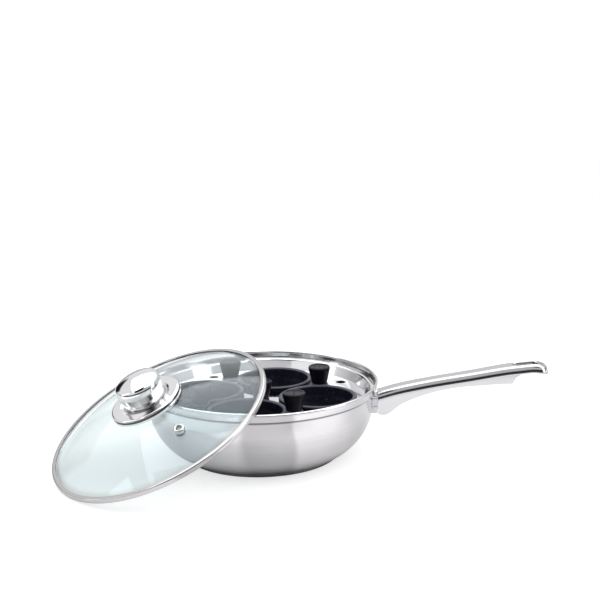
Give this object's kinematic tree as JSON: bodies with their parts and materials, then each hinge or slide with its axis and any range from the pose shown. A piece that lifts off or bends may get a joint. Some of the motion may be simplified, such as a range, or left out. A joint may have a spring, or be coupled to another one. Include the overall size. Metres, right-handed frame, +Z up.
{
  "type": "egg poacher pan",
  "caption": "Low stainless pan with a long pressed handle, a rack of non-stick egg cups with black knobs, and a domed glass lid leaning on its rim.",
  "frame": {"origin": "middle of the flat base, on the surface that the pan stands on", "axes": "+Z up along the pan's axis, +X out along the handle, +Y to the back of the pictured view"},
  "size_m": [0.4274, 0.2526, 0.0938],
  "materials": {
    "pan_steel": "satin stainless steel, soft reflections",
    "base_steel": "brushed stainless steel",
    "core_metal": "plain disc, sealed inside the base",
    "handle_steel": "polished stainless steel",
    "bracket_steel": "plain welded steel",
    "rack_steel": "bright stainless steel",
    "cup_coating": "dark non-stick coating with pale specks",
    "knob_black": "black heat-proof moulding, satin",
    "screw_steel": "plain steel",
    "lid_glass": "clear toughened glass, faint green-blue",
    "band_steel": "polished steel strip",
    "seal_rubber": "soft clear-grey washer",
    "core_plastic": "hidden moulding",
    "lid_knob_steel": "polished steel"
  },
  "bodies": {
    "pan": {"pan_body": "pan_steel", "base_core": "core_metal", "base_cap": "base_steel", "handle": "handle_steel", "handle_bracket": "bracket_steel"},
    "rack": {"rack_plate": "rack_steel", "rack_knob": "knob_black", "rack_washer": "screw_steel", "rack_screw": "screw_steel"},
    "cup_right": {"cup_right_bowl": "cup_coating", "cup_right_knob": "knob_black", "cup_right_screw": "screw_steel"},
    "cup_back": {"cup_back_bowl": "cup_coating", "cup_back_knob": "knob_black", "cup_back_screw": "screw_steel"},
    "cup_left": {"cup_left_bowl": "cup_coating", "cup_left_knob": "knob_black", "cup_left_screw": "screw_steel"},
    "cup_front": {"cup_front_bowl": "cup_coating", "cup_front_knob": "knob_black", "cup_front_screw": "screw_steel"},
    "lid": {"lid_glass": "lid_glass", "lid_band": "band_steel", "lid_gaskets": "seal_rubber", "lid_washer": "screw_steel", "lid_screw": "screw_steel", "lid_knob_plate": "lid_knob_steel", "lid_knob_core": "core_plastic", "lid_knob": "lid_knob_steel", "lid_vent": "band_steel"}
  },
  "joints": [
    {"name": "rack_lift", "type": "slide", "parent": "pan", "child": "rack", "axis": [0, 0, 1], "range_m": [0, 0.09]},
    {"name": "cup_right_lift", "type": "slide", "parent": "rack", "child": "cup_right", "axis": [0, 0, 1], "range_m": [0, 0.06]},
    {"name": "cup_back_lift", "type": "slide", "parent": "rack", "child": "cup_back", "axis": [0, 0, 1], "range_m": [0, 0.06]},
    {"name": "cup_left_lift", "type": "slide", "parent": "rack", "child": "cup_left", "axis": [0, 0, 1], "range_m": [0, 0.008]},
    {"name": "cup_front_lift", "type": "slide", "parent": "rack", "child": "cup_front", "axis": [0, 0, 1], "range_m": [0, 0.018]},
    {"name": "lid_lift", "type": "slide", "parent": "rack", "child": "lid", "axis": [-0.3817, -0.2447, 0.8913], "range_m": [0, 0.18]}
  ]
}
